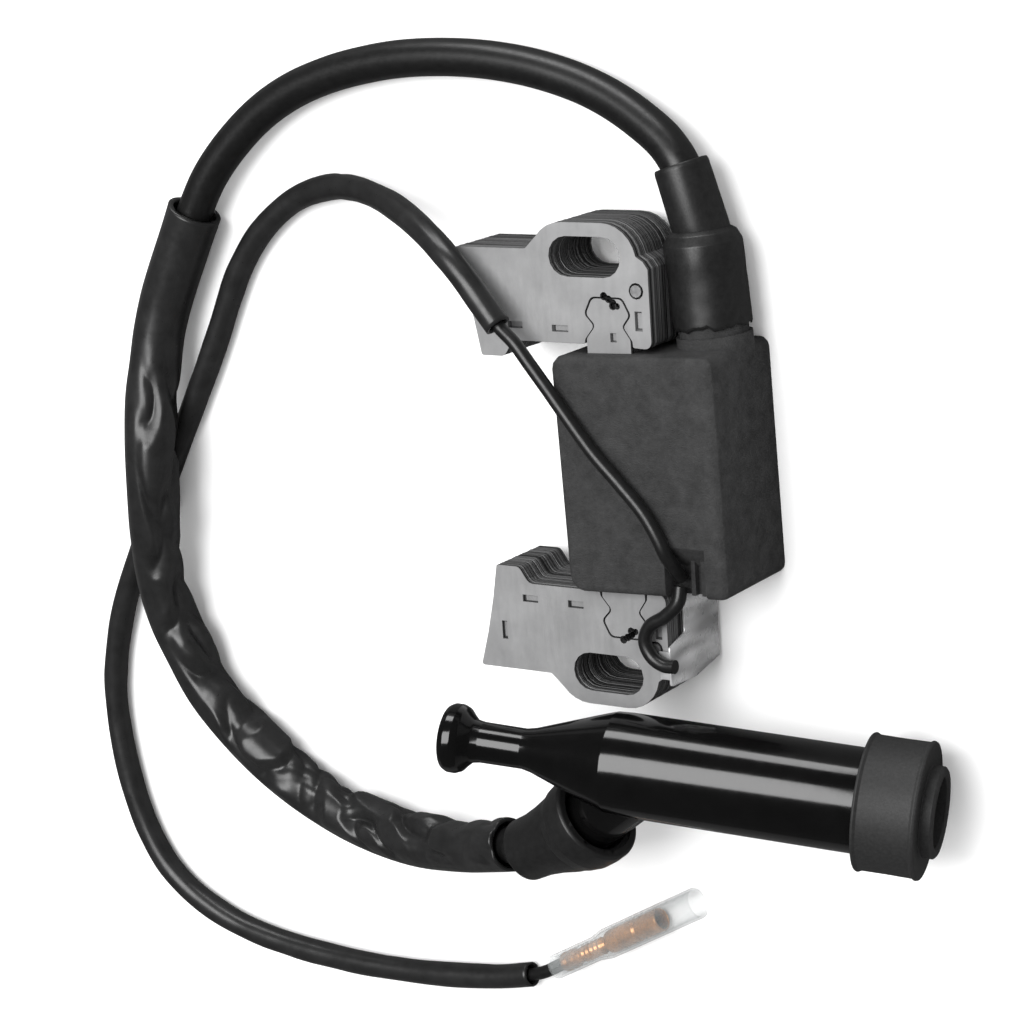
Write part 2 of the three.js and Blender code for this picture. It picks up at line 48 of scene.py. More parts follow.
LEAD_RADIUS = 3.5
WIRE_RADIUS = 1.25
LEAD_SLEEVE_RADIUS = 5.2
LEAD_SLEEVE_BORE = 4.4
WIRE_SLEEVE_RADIUS = 2.5
WIRE_SLEEVE_BORE = 1.95
SHEETS = 29
CORE_FRONT = 18.05
BELL_RINGS = 8                   # rings at a sleeve's ends where its bore is at full width
BORE_FIT = 0.55                  # by which the bore is narrower between the ends
GROOVE_DEPTH = 0.2               # between two core sheets
SHEET_SLIP = 0.09                # the most that a core sheet stands back
FRONT_ROUNDING = 0.07            # at the edge of the core's front face
PRESSING_DEPTH = 0.7             # of a clinch mark
CUTTER_RISE = 0.3                # by which a cutter stands out of the core's front

TOWER = Vector((19.9, 21, 8))
TOWER_LEAN = math.radians(5)
BOOT_RADIUS = 6.95
BOOT_TIP_RADIUS = 4.95
BOOT_BEND = 21
BOOT_TIP_LEAN = math.radians(17.4)

JUNCTION = Vector((12.1, -52.9, 23.3))
CAP_AXIS = Vector((0.973, -0.105, -0.2275)).normalized()
SPIGOT_AXIS = Vector((-0.785, -0.613, -0.085)).normalized()
BOOT_AXIS = Vector((-0.883, -0.461, -0.066)).normalized()
BARREL_RADIUS = 9.35
BARREL_BORE = 7.3
SPIGOT_RADIUS = 6
SPIGOT_END = 22.8
BOOT_MOUTH = 17.6
BOOT_PIVOT = 22.5

BULLET = Vector((-25.3, -104.7, 3.1))
BULLET_AXIS = Vector((0.871, 0.491, 0)).normalized()
COVER_LENGTH = 37.3

TOWER_AXIS = Vector((-math.sin(TOWER_LEAN), math.cos(TOWER_LEAN), 0))
BOOT_TIP = TOWER + TOWER_AXIS * BOOT_BEND
BOOT_TIP_AXIS = Vector((-math.sin(BOOT_TIP_LEAN), math.cos(BOOT_TIP_LEAN), 0))
PIVOT = JUNCTION + SPIGOT_AXIS * BOOT_PIVOT


# Camera

CAMERA_LENS = 104.1
CAMERA_PLACE = (270.7, 118.0, 453.0)
CAMERA_FORWARD = (-0.538, -0.2368, -0.809)
CAMERA_RIGHT = (0.8396, -0.0649, -0.5393)


def make_camera():
    data = bpy.data.cameras.new("camera")
    data.sensor_width = 36
    data.lens = CAMERA_LENS
    camera = bpy.data.objects.new("camera", data)
    bpy.context.collection.objects.link(camera)
    forward = Vector(CAMERA_FORWARD).normalized()
    right = Vector(CAMERA_RIGHT)
    right = (right - forward * right.dot(forward)).normalized()
    up = right.cross(forward)
    camera.matrix_world = Matrix((
        (right.x, up.x, -forward.x, CAMERA_PLACE[0] * MM),
        (right.y, up.y, -forward.y, CAMERA_PLACE[1] * MM),
        (right.z, up.z, -forward.z, CAMERA_PLACE[2] * MM),
        (0, 0, 0, 1),
    ))
    bpy.context.scene.camera = camera


make_camera()


# Curves and meshes

def smooth_path(points, step=1.0):
    """Points about step apart on the centripetal Catmull-Rom curve through the given points."""
    points = [Vector(point) for point in points]
    ends = [points[0] * 2 - points[1], points[-1] * 2 - points[-2]]
    padded = [ends[0], *points, ends[1]]
    path = []
    for a, b, c, d in zip(padded, padded[1:], padded[2:], padded[3:]):
        ta = math.sqrt((b - a).length)
        tb = math.sqrt((c - b).length)
        tc = math.sqrt((d - c).length)
        m1 = (b - a) / ta - (c - a) / (ta + tb) + (c - b) / tb
        m2 = (c - b) / tb - (d - b) / (tb + tc) + (d - c) / tc
        m1 *= tb
        m2 *= tb
        count = max(1, round((c - b).length / step))
        for index in range(count):
            t = index / count
            path.append(
                b * (2 * t ** 3 - 3 * t ** 2 + 1) + m1 * (t ** 3 - 2 * t ** 2 + t)
                + c * (3 * t ** 2 - 2 * t ** 3) + m2 * (t ** 3 - t ** 2))
    path.append(points[-1])
    return path


def ramp(value, low, high):
    """Rises smoothly from 0 at low to 1 at high."""
    t = min(1, max(0, (value - low) / (high - low)))
    return t * t * (3 - 2 * t)


def length_of(path):
    return sum((b - a).length for a, b in zip(path, path[1:]))


def new_object(name, mesh, body):
    piece = bpy.data.objects.new(name, mesh)
    bpy.context.collection.objects.link(piece)
    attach(piece, body)
    return piece


def mesh_object(name, points, faces, body, smooth=True):
    """A mesh object from points in millimetres."""
    mesh = bpy.data.meshes.new(name)
    mesh.from_pydata([Vector(point) * MM for point in points], [], faces)
    mesh.update()
    if smooth:
        mesh.shade_smooth()
    return new_object(name, mesh, body)


def frames_along(path):
    """Centre and two normals at each point, with no twist."""
    result = []
    normal = None
    for index, point in enumerate(path):
        tangent = (path[min(index + 1, len(path) - 1)] - path[max(index - 1, 0)]).normalized()
        if normal is None:
            normal = tangent.orthogonal()
        normal = (normal - tangent * normal.dot(tangent)).normalized()
        result.append((point, normal, tangent.cross(normal)))
    return result


def directions(first, second, count):
    """Unit vectors at equal angles in the plane of first and second."""
    for index in range(count):
        angle = 2 * math.pi * index / count
        yield first * math.cos(angle) + second * math.sin(angle)


def round_cord(name, path, radius, body, sides=28):
    """A round cord along the path, closed at both ends."""
    points = []
    faces = []
    for centre, normal, binormal in frames_along(path):
        start = len(points)
        for side, direction in enumerate(directions(normal, binormal, sides)):
            points.append(centre + direction * radius)
            if start:
                after = (side + 1) % sides
                faces.append((start - sides + side, start - sides + after, start + after, start + side))
    faces.append(list(range(sides))[::-1])
    faces.append(list(range(len(points) - sides, len(points))))
    cord = mesh_object(name, points, faces, body)
    cord.data.set_sharp_from_angle(angle=math.radians(50))
    return cord


def hollow_tube(name, path, sides, outer, bore, body):
    """A sleeve, its outer radius a function of the centre, the distance and the direction."""
    frames = frames_along(path)
    points = []
    rings = []
    distance = 0
    for index, (centre, normal, binormal) in enumerate(frames):
        if index:
            distance += (centre - frames[index - 1][0]).length
        ring = []
        for direction in directions(normal, binormal, sides):
            ring.append(len(points))
            points.append(centre + direction * outer(centre, distance, direction))
        rings.append(ring)
    for index, (centre, normal, binormal) in reversed(list(enumerate(frames))):
        near_end = min(index, len(frames) - 1 - index) < BELL_RINGS
        ring = []
        for direction in directions(normal, binormal, sides):
            ring.append(len(points))
            points.append(centre + direction * (bore if near_end else bore - BORE_FIT))
        rings.append(ring)
    rings.append(rings[0])
    faces = []
    for first, second in zip(rings, rings[1:]):
        for side in range(sides):
            after = (side + 1) % sides
            faces.append((first[side], first[after], second[after], second[side]))
    return mesh_object(name, points, faces, body)


def turned(name, profile, origin, axis, body, segments=72):
    """A solid of revolution from (radius, distance) pairs, from origin along axis."""
    across = axis.orthogonal().normalized()
    beyond = axis.cross(across)
    points = []
    rings = []
    for radius, distance in profile:
        centre = origin + axis * distance
        if radius < 1e-6:
            rings.append([len(points)])
            points.append(centre)
            continue
        ring = []
        for direction in directions(across, beyond, segments):
            ring.append(len(points))
            points.append(centre + direction * radius)
        rings.append(ring)
    if len(rings[0]) > 1:
        rings.append(rings[0])
    faces = []
    for first, second in zip(rings, rings[1:]):
        for index in range(segments):
            after = (index + 1) % segments
            corners = [
                first[index % len(first)], first[after % len(first)],
                second[after % len(second)], second[index % len(second)],
            ]
            kept = list(dict.fromkeys(corners))
            if len(kept) > 2:
                faces.append(kept)
    piece = mesh_object(name, points, faces, body)
    face_outwards(piece)
    return piece


def softened(profile, radius=0.4, steps=4):
    """The profile with its corners rounded to the radius, where there is room."""
    closed = profile[0] == profile[-1]
    pairs = [Vector(pair) for pair in (profile[:-1] if closed else profile)]
    result = []
    for index, corner in enumerate(pairs):
        if not closed and index in (0, len(pairs) - 1):
            result.append(tuple(corner))
            continue
        before = pairs[index - 1] - corner
        after = pairs[(index + 1) % len(pairs)] - corner
        bend = before.angle(after, math.pi)
        if bend > math.radians(172):
            result.append(tuple(corner))
            continue
        reach = min(radius / math.tan(bend / 2), before.length * 0.45, after.length * 0.45)
        start = corner + before.normalized() * reach
        end = corner + after.normalized() * reach
        for step in range(steps + 1):
            t = step / steps
            place = start * (1 - t) ** 2 + corner * (2 * t * (1 - t)) + end * t ** 2
            result.append(tuple(place))
    if closed:
        result.append(result[0])
    return result


def face_outwards(piece):
    edit = bmesh.new()
    edit.from_mesh(piece.data)
    bmesh.ops.recalc_face_normals(edit, faces=edit.faces)
    edit.to_mesh(piece.data)
    edit.free()


def apply_modifiers(piece):
    seen = piece.evaluated_get(bpy.context.evaluated_depsgraph_get())
    mesh = bpy.data.meshes.new_from_object(seen)
    piece.modifiers.clear()
    piece.data = mesh


def combine(piece, other, operation, crossing=False):
    """Joins or cuts piece with other, which is used up; crossing says that other meets itself."""
    modifier = piece.modifiers.new("combine", "BOOLEAN")
    modifier.object = other
    modifier.operation = operation
    modifier.solver = "EXACT"
    modifier.use_self = crossing
    apply_modifiers(piece)
    bpy.data.objects.remove(other)


def cad_copy(name, node, body):
    """A piece that starts as the CAD node's own solid, with its coplanar faces merged."""
    edit = bmesh.new()
    edit.from_mesh(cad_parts[node].data)
    bmesh.ops.remove_doubles(edit, verts=edit.verts, dist=1e-6)
    bmesh.ops.dissolve_limit(edit, angle_limit=math.radians(1), verts=edit.verts, edges=edit.edges)
    mesh = bpy.data.meshes.new(name)
    edit.to_mesh(mesh)
    edit.free()
    piece = new_object(name, mesh, body)
    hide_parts(node)
    return piece


def bevel(piece, width):
    modifier = piece.modifiers.new("bevel", "BEVEL")
    modifier.width = width * MM
    modifier.segments = 2
    modifier.limit_method = "ANGLE"
    modifier.angle_limit = math.radians(30)
    apply_modifiers(piece)
    piece.data.shade_smooth()
    piece.data.set_sharp_from_angle(angle=math.radians(40))


# Materials

def shader_of(material):
    return material.node_tree.nodes["Principled BSDF"]


def new_material(name, color, roughness, metallic=0.0, **sockets):
    material = bpy.data.materials.new(name)
    material.use_nodes = True
    shader = shader_of(material)
    shader.inputs["Base Color"].default_value = (*color, 1)
    shader.inputs["Roughness"].default_value = roughness
    shader.inputs["Metallic"].default_value = metallic
    for socket, value in sockets.items():
        shader.inputs[socket.replace("_", " ")].default_value = value
    return material


def add_node(material, kind, **sockets):
    node = material.node_tree.nodes.new(kind)
    for socket, value in sockets.items():
        node.inputs[socket].default_value = value
    return node


def stretched_noise(material, scale, stretch=(1, 1, 1), detail=4, roughness=0.6):
    """Noise over the piece's own place, its scale in features per millimetre."""
    links = material.node_tree.links
    place = add_node(material, "ShaderNodeTexCoord")
    mapping = add_node(material, "ShaderNodeMapping")
    mapping.inputs["Scale"].default_value = [scale / MM * factor for factor in stretch]
    texture = add_node(material, "ShaderNodeTexNoise", Scale=1, Detail=detail, Roughness=roughness)
    links.new(place.outputs["Object"], mapping.inputs["Vector"])
    links.new(mapping.outputs["Vector"], texture.inputs["Vector"])
    return texture.outputs["Fac"]


def vary(material, socket, source, low, high, low_value, high_value):
    """Drives a socket with the source, from low_value at low to high_value at high."""
    links = material.node_tree.links
    if socket == "Base Color":
        blend = add_node(material, "ShaderNodeValToRGB")
        first, last = blend.color_ramp.elements
        first.position = low
        first.color = (*low_value, 1)
        last.position = high
        last.color = (*high_value, 1)
        links.new(source, blend.inputs["Fac"])
        links.new(blend.outputs["Color"], shader_of(material).inputs[socket])
        return
    spread = add_node(material, "ShaderNodeMapRange")
    spread.inputs["From Min"].default_value = low
    spread.inputs["From Max"].default_value = high
    spread.inputs["To Min"].default_value = low_value
    spread.inputs["To Max"].default_value = high_value
    links.new(source, spread.inputs["Value"])
    links.new(spread.outputs["Result"], shader_of(material).inputs[socket])


def bump(material, source, height):
    """Raises the surface by the source, with the height in millimetres."""
    links = material.node_tree.links
    shader = shader_of(material)
    node = add_node(material, "ShaderNodeBump", Strength=1, Distance=height * MM)
    links.new(source, node.inputs["Height"])
    normal = shader.inputs["Normal"]
    if normal.is_linked:
        links.new(normal.links[0].from_socket, node.inputs["Normal"])
    links.new(node.outputs["Normal"], normal)


def gray(value):
    return (value, value, value * 1.01)


def sheet_face_steel():
    material = new_material("core_face", gray(0.3), 0.4, 0.35)
    cloudy = stretched_noise(material, 0.12, detail=7)
    vary(material, "Base Color", cloudy, 0.3, 0.7, gray(0.24), gray(0.31))
    scuffs = stretched_noise(material, 1.2, (1, 0.15, 1), detail=5)
    vary(material, "Roughness", scuffs, 0.3, 0.75, 0.34, 0.55)
    bump(material, stretched_noise(material, 6, (1, 0.2, 1), detail=3), 0.012)
    return material


def sheet_edge_steel():
    material = new_material("core_edge", gray(0.1), 0.42, 0.5)
    # Stripes along the stack, from dark to light: partly each sheet's own tone, partly painted shade in
    # the grooves between sheets and painted light on the sheet edges.
    sheets = stretched_noise(material, 1, (0.02, 0.02, 3.1), detail=1)
    vary(material, "Base Color", sheets, 0.36, 0.64, gray(0.02), gray(0.17))
    vary(material, "Roughness", stretched_noise(material, 2), 0.3, 0.7, 0.35, 0.6)
    bump(material, stretched_noise(material, 3, (1, 1, 0.3)), 0.02)
    return material


def tinned():
    material = new_material("tinned_sheet", gray(0.5), 0.3, 0.45)
    blotches = stretched_noise(material, 0.25, (1, 1, 0.3), detail=1)
    vary(material, "Base Color", blotches, 0.35, 0.65, gray(0.36), gray(0.8))
    vary(material, "Roughness", stretched_noise(material, 0.4, detail=1), 0.3, 0.7, 0.2, 0.4)
    bump(material, stretched_noise(material, 0.16, (1, 1.6, 0.35), detail=0), 1.2)
    return material


def sandy_plastic():
    material = new_material("case_plastic", gray(0.05), 0.72, Specular_IOR_Level=0.4)
    cloudy = stretched_noise(material, 0.3, detail=9, roughness=0.75)
    vary(material, "Base Color", cloudy, 0.32, 0.7, gray(0.018), gray(0.042))
    vary(material, "Roughness", stretched_noise(material, 1.5), 0.3, 0.7, 0.6, 0.82)
    bump(material, stretched_noise(material, 2.6, detail=4, roughness=0.75), 0.3)
    bump(material, stretched_noise(material, 0.25, detail=2), 0.12)
    return material


def plain(name, color, roughness, grain, height, spread=0.25, metallic=0.0, **sockets):
    """Plastic, rubber or metal with slight variation in colour, gloss and surface."""
    material = new_material(name, color, roughness, metallic, **sockets)
    dark = tuple(value * (1 - spread) for value in color)
    light = tuple(value * (1 + spread) for value in color)
    vary(material, "Base Color", stretched_noise(material, grain * 0.3), 0.3, 0.7, dark, light)
    vary(material, "Roughness", stretched_noise(material, grain), 0.3, 0.7,
         roughness * 0.85, roughness * 1.15)
    bump(material, stretched_noise(material, grain, detail=3), height)
    return material


def clear_vinyl():
    material = new_material("clear_vinyl", (0.5, 0.52, 0.52), 0.14)
    edge = add_node(material, "ShaderNodeLayerWeight", Blend=0.35)
    vary(material, "Alpha", edge.outputs["Facing"], 0.1, 1.0, 0.08, 0.62)
    bump(material, stretched_noise(material, 0.6), 0.02)
    return material


MATERIALS = {
    "core_face": sheet_face_steel(),
    "core_edge": sheet_edge_steel(),
    "tinned": tinned(),
    "case": sandy_plastic(),
    "boot": plain("boot_rubber", gray(0.009), 0.4, 2.5, 0.012),
    "seal": plain("seal_rubber", gray(0.016), 0.6, 6, 0.012),
    "lead": plain("lead_rubber", gray(0.006), 0.36, 1.5, 0.008),
    "sleeve": plain("sleeve_vinyl", gray(0.013), 0.32, 0.8, 0.012),
    "wire": plain("wire_vinyl", gray(0.007), 0.34, 2, 0.006),
    "cap": plain("cap_plastic", gray(0.0025), 0.13, 0.5, 0.004),
    "brass": plain("brass", (0.65, 0.38, 0.13), 0.28, 1.2, 0.01, metallic=1.0),
    "copper": plain("copper", (0.42, 0.2, 0.075), 0.28, 0.9, 0.05, spread=0.5, metallic=0.6),
    "rivet": plain("rivet_steel", gray(0.3), 0.45, 2, 0.02, metallic=0.8),
    "resin": plain("potting_resin", gray(0.016), 0.3, 0.6, 0.03),
    "bobbin": plain("bobbin_plastic", (0.7, 0.66, 0.56), 0.5, 1, 0.01, spread=0.06),
    "winding": plain("copper_winding", (0.5, 0.2, 0.08), 0.35, 4, 0.05, metallic=0.7),
    "board": plain("circuit_board", (0.03, 0.12, 0.05), 0.45, 1, 0.01),
    "chip": plain("chip_plastic", gray(0.02), 0.5, 3, 0.01),
    "ceramic": plain("resistor_ceramic", (0.3, 0.2, 0.13), 0.6, 2, 0.02),
    "clear": clear_vinyl(),
}


def dress(piece, material):
    piece.data.materials.clear()
    piece.data.materials.append(MATERIALS[material])


# High-tension lead and stop wire, the routes as in the CAD model

LEAD_OPEN = [
    (11.2, 56.6, 6.9),
    (5.9, 60.3, 5.8),
    (-0.3, 63.7, 4.8),
    (-6.5, 66.3, 4.2),
    (-13.3, 68.4, 3.9),
    (-20.2, 69.9, 3.7),
    (-28.6, 71, 3.6),
    (-37.3, 71.4, 3.6),
    (-46.4, 71.1, 3.6),
    (-54.2, 70.1, 3.6),
    (-62.3, 68.4, 3.7),
    (-71.4, 65.3, 4),
    (-79.2, 61, 4.4),
    (-86.6, 54.9, 4.9),
    (-92.1, 48.8, 5.3),
]
LEAD_COVERED = [
    (-96.3, 42.2, 5.4),
    (-99.4, 36.3, 5.4),
    (-102.7, 29.9, 5.5),
    (-105.4, 24.1, 5.7),
    (-107.4, 17.6, 6.4),
    (-108.4, 11.3, 7.4),
    (-108.8, 5.5, 8.9),
    (-108.6, -3, 10.7),
    (-108.7, -9.4, 11.3),
    (-109.3, -16.2, 11),
    (-110.3, -22.8, 10),
    (-111.4, -33.4, 8),
    (-110.3, -41.2, 6.9),
    (-107.5, -48.4, 6),
    (-103.3, -56.2, 5.6),
    (-97.2, -62.9, 5.4),
    (-89.4, -69.2, 5.4),
    (-82.6, -73.5, 5.4),
    (-76, -76.7, 5.4),
    (-69.5, -79, 5.6),
    (-63, -80.3, 6.2),
    (-56.7, -80.8, 7.2),
    (-50.3, -80.5, 8.8),
    (-43.1, -79.4, 11),
    (-35.8, -77.8, 13.6),
    (-28.9, -75.8, 16),
    (-23.7, -74.2, 17.8),
]
LOOP_MIDDLE = Vector((-55, -5, 6))  # the side to which the sleeve's folds turn
WIRE_OPEN = [
    (16.9, -18.2, 19.2),
    (16.7, -15.8, 21.2),
    (16, -13.2, 22.8),
    (15, -10.6, 23.1),
    (12.4, -6.3, 23.1),
    (7.7, -1.1, 23.1),
    (2.9, 3.8, 23.1),
    (-1.8, 9.6, 23.1),
    (-6, 15.1, 23.1),
    (-9.4, 19.4, 23.1),
    (-12.4, 23.1, 23),
]
WIRE_COVERED = [
    (-15.8, 26, 22.7),
    (-19.2, 30, 22.4),
    (-22.2, 33.5, 22.1),
    (-26.5, 37.7, 21.4),
    (-32, 41, 18.9),
    (-40.9, 44, 13.4),
    (-47.6, 45.8, 9.8),
    (-55.6, 47.2, 6.4),
    (-62.9, 47.3, 4.2),
    (-69.5, 46, 3),
    (-74.7, 43.9, 2.7),
    (-80.1, 40.2, 2.6),
    (-84.4, 36.2, 2.6),
    (-88.7, 30.5, 2.6),
    (-92.2, 24, 2.6),
    (-95.4, 17.4, 2.6),
    (-98.9, 10.8, 2.6),
    (-103.3, 2.8, 2.6),
    (-107.9, -5.3, 2.6),
    (-111.8, -12.2, 2.6),
    (-116.2, -20.2, 2.6),
    (-120.7, -28.6, 2.6),
    (-124.4, -35.8, 2.6),
    (-127.3, -42.5, 2.6),
    (-129.6, -49.3, 2.6),
    (-131.1, -56, 2.6),
    (-131.7, -63, 2.6),
    (-131.4, -70.2, 2.6),
    (-130.4, -77.4, 2.6),
    (-128.7, -84.5, 2.6),
    (-126.2, -91.2, 2.6),
    (-122.5, -97.3, 2.6),
    (-117.1, -102.3, 2.6),
    (-109.5, -106.5, 2.6),
    (-100.4, -109.4, 2.6),
    (-88.8, -111.2, 2.6),
    (-76.1, -111.9, 2.6),
    (-63.5, -111.8, 2.6),
    (-51.2, -110.9, 2.6),
    (-39.1, -109.2, 2.6),
    (-31.2, -107.4, 2.7),
]
GROUND_ROUTE = [
    (16.6, -19.9, 19.1),
    (16.3, -22.6, 19.8),
    (13.6, -25.4, 20),
    (10.4, -27.5, 20),
    (9.2, -30.4, 20),
    (10.5, -33.1, 20.1),
    (12.9, -34.4, 20.3),
    (15.4, -34.4, 20.4),
]


def lead_and_sleeve():
    on_tower = [TOWER + TOWER_AXIS * distance for distance in (5, 12, 18)]
    in_tip = [BOOT_TIP + BOOT_TIP_AXIS * distance for distance in (0.5, 6, 11)]
    in_cap_boot = [PIVOT + BOOT_AXIS * distance for distance in (15.2, 8)]
    in_spigot = [JUNCTION + SPIGOT_AXIS * distance for distance in (21, 15, 9.4)]
    route = [*on_tower, *in_tip, *LEAD_OPEN, *LEAD_COVERED, *in_cap_boot, *in_spigot]
    path = smooth_path(route)
    lead = round_cord("lead", path, LEAD_RADIUS, "coil")
    dress(lead, "lead")
    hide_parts("ht_lead")

    covered = smooth_path(LEAD_COVERED, 0.5)
    whole = length_of(covered)

    def radius(centre, distance, direction):
        """The folds lie on the loop's inner side, and go deeper and further round towards the cap."""
        inward = (LOOP_MIDDLE - centre).normalized()
        facing = direction.dot(inward)
        turn = math.atan2(direction.z, facing) * LEAD_SLEEVE_RADIUS
        swell = 0.25 * noise.noise(Vector((distance * 0.05, 3.1, 0.4)))
        start = 0.4 * math.exp(-distance / 12)
        late = ramp(distance, 100, 125)
        reach = ramp(facing, -0.1 - 0.6 * late, 0.5 - 0.5 * late)
        calm = 1 - 0.6 * ramp(distance, whole - 26, whole - 10)
        long_folds = abs(noise.noise(Vector((distance / 13 + turn / 15, turn / 6, 1.7))))
        short_folds = abs(noise.noise(Vector((distance / 9 - turn / 13, turn / 9, 5.2))))
        creases = abs(noise.noise(Vector((distance / 7 + turn / 9, turn / 10, 8.6))))
        fold = 2.0 * (0.4 - 1.9 * long_folds) * (1 - 0.6 * late)
        fold += 3.2 * (0.27 - 1.5 * short_folds) * late
        fold += 0.6 * (0.22 - creases) * (0.3 + 0.7 * late)
        fold = max(-0.7, min(fold, 1.15))
        fold *= ramp(distance, 24, 46) * reach * calm
        under = 0.3 * max(0, -direction.z)
        return LEAD_SLEEVE_RADIUS - 0.1 + (swell + start) * (1 - under) - fold * (1 - under) - under

    sleeve = hollow_tube("lead_sleeve", covered, 96, radius, LEAD_SLEEVE_BORE, "coil")
    dress(sleeve, "sleeve")
    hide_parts("ht_sleeve")
    return lead, path, sleeve


def wire_and_sleeve():
    in_bullet = [BULLET + BULLET_AXIS * distance for distance in (-3, 1, 6.9)]
    path = smooth_path([*WIRE_OPEN, *WIRE_COVERED, *in_bullet], 0.8)
    wire = round_cord("stop_lead", path, WIRE_RADIUS, "coil")
    dress(wire, "wire")
    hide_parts("stop_wire")

    def radius(centre, distance, direction):
        swell = 0.14 * noise.noise(Vector((distance * 0.09, 7.7, 1.3)))
        turn = math.atan2(direction.z, direction.x)
        dent = abs(noise.noise(Vector((distance / 12, turn * 0.8, 4.4))))
        return WIRE_SLEEVE_RADIUS - 0.03 + swell - 0.35 * max(0, dent - 0.25)

    sleeve = hollow_tube("stop_lead_sleeve", smooth_path(WIRE_COVERED, 0.8), 32, radius,
                         WIRE_SLEEVE_BORE, "coil")
    dress(sleeve, "sleeve")
    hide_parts("stop_wire_sleeve")
    return wire, path, sleeve


def ground_loop():
    loop = round_cord("ground_loop", smooth_path(GROUND_ROUTE, 0.4), WIRE_RADIUS, "coil")
    dress(loop, "wire")
    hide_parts("ground_wire")


# Laminated core

CLINCHES = {                     # X, Y, length along X, length along Y of each clinch mark
    1: [(-5.8, 25.1, 3.3, 1.2), (-15.2, 25.4, 3, 1.2), (10.4, 27, 1.4, 3.4), (5.1, 23.9, 1.2, 1.6)],
    -1: [(-15.8, -25.4, 3.2, 1.3), (-6.1, -25.6, 3.2, 1.3), (-21.8, -31.9, 1.1, 3.4),
         (11, -29.1, 1.3, 2.6)],
}
HOOKS = [(5.4, 30, 0.75), (4.5, 30.7, 0.7), (3.6, 31.2, 0.75), (6.2, 29.5, 0.6)]


def pressings(side):
    """The clinch marks and the open hook at the key, as one cutter for the core's front."""
    points = []
    faces = []
    floors = []
    top = CORE_FRONT + CUTTER_RISE
    for x, y, long_x, long_y in CLINCHES[side]:
        start = len(points)
        for z, part in ((top, 0.56), (CORE_FRONT - PRESSING_DEPTH, 0.4)):
            for sign_x, sign_y in ((-1, -1), (1, -1), (1, 1), (-1, 1)):
                points.append((x + sign_x * long_x * part, y + sign_y * long_y * part, z))
        for corner in range(4):
            after = (corner + 1) % 4
            faces.append([start + corner, start + after, start + 4 + after, start + 4 + corner])
        faces.append([start, start + 3, start + 2, start + 1])
        floors.append(len(faces))
        faces.append([start + 4, start + 5, start + 6, start + 7])
    sides = 14
    for x, y, radius in HOOKS:
        start = len(points)
        for z in (top, CORE_FRONT - 5 - 0.1 * x):
            for index in range(sides):
                angle = 2 * math.pi * index / sides
                points.append((x + radius * math.cos(angle), side * y + radius * math.sin(angle), z))
        for index in range(sides):
            after = (index + 1) % sides
            faces.append([start + index, start + after, start + sides + after, start + sides + index])
        faces.append(list(range(start, start + sides))[::-1])
        faces.append(list(range(start + sides, start + 2 * sides)))
    cutter = mesh_object("pressings", points, faces, "coil", smooth=False)
    face_outwards(cutter)
    paint_core(cutter, lambda face: face.index in floors)
    return cutter


def paint_core(piece, is_face):
    """Gives the core's face steel where is_face says so, and its edge steel elsewhere."""
    piece.data.materials.append(MATERIALS["core_edge"])
    piece.data.materials.append(MATERIALS["core_face"])
    for face in piece.data.polygons:
        face.material_index = 1 if is_face(face) else 0


def front_outline(node):
    """Corners of the CAD solid's front, the normals at each, its border edges, and its back and front."""
    edit = bmesh.new()
    edit.from_mesh(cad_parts[node].data)
    bmesh.ops.remove_doubles(edit, verts=edit.verts, dist=1e-6)
    low = min(vertex.co.z for vertex in edit.verts)
    high = max(vertex.co.z for vertex in edit.verts)
    front = [face for face in edit.faces if face.calc_center_median().z > high - 1e-5]
    inside = set(front)
    index_of = {}
    outline = []
    normals = []
    for face in front:
        for vertex in face.verts:
            if vertex not in index_of:
                index_of[vertex] = len(outline)
                outline.append(vertex.co.xy / MM)
                normals.append([])
    border = []
    for face in front:
        for loop in face.loops:
            if any(other in inside for other in loop.edge.link_faces if other is not face):
                continue
            start = loop.vert
            end = loop.link_loop_next.vert
            along = (end.co.xy - start.co.xy).normalized()
            normal = Vector((along.y, -along.x))
            border.append((index_of[start], index_of[end]))
            normals[index_of[start]].append(normal)
            normals[index_of[end]].append(normal)
    edit.free()
    return outline, normals, border, low, high


def mitred(normals):
    """How far a corner moves when the two edges with these normals move outwards by 1."""
    first, second = normals
    return (first + second) / (1 + max(first.dot(second), -0.5))


def loops_of(border):
    """The border's corners in order, one list for each closed loop."""
    following = dict(border)
    rings = []
    while following:
        ring = [next(iter(following))]
        while following.get(ring[-1]) not in (None, ring[0]):
            ring.append(following.pop(ring[-1]))
        following.pop(ring[-1])
        rings.append(ring)
    return rings


def sheet_levels(low, high, seed):
    """Height and outward offset of each ring of the stack, with every sheet slipped at random."""
    slips = random.Random(seed)
    thickness = (high - low) / MM / SHEETS
    levels = []
    for sheet in range(SHEETS):
        base = low / MM + sheet * thickness
        slip = slips.uniform(0, SHEET_SLIP)
        levels.append((base, -GROOVE_DEPTH))
        levels.append((base + 0.09, -slip))
        levels.append((base + thickness - 0.1, -slip - 0.02))
    levels.append((high / MM - 0.05, -0.03))
    levels.append((high / MM, -FRONT_ROUNDING))
    return levels


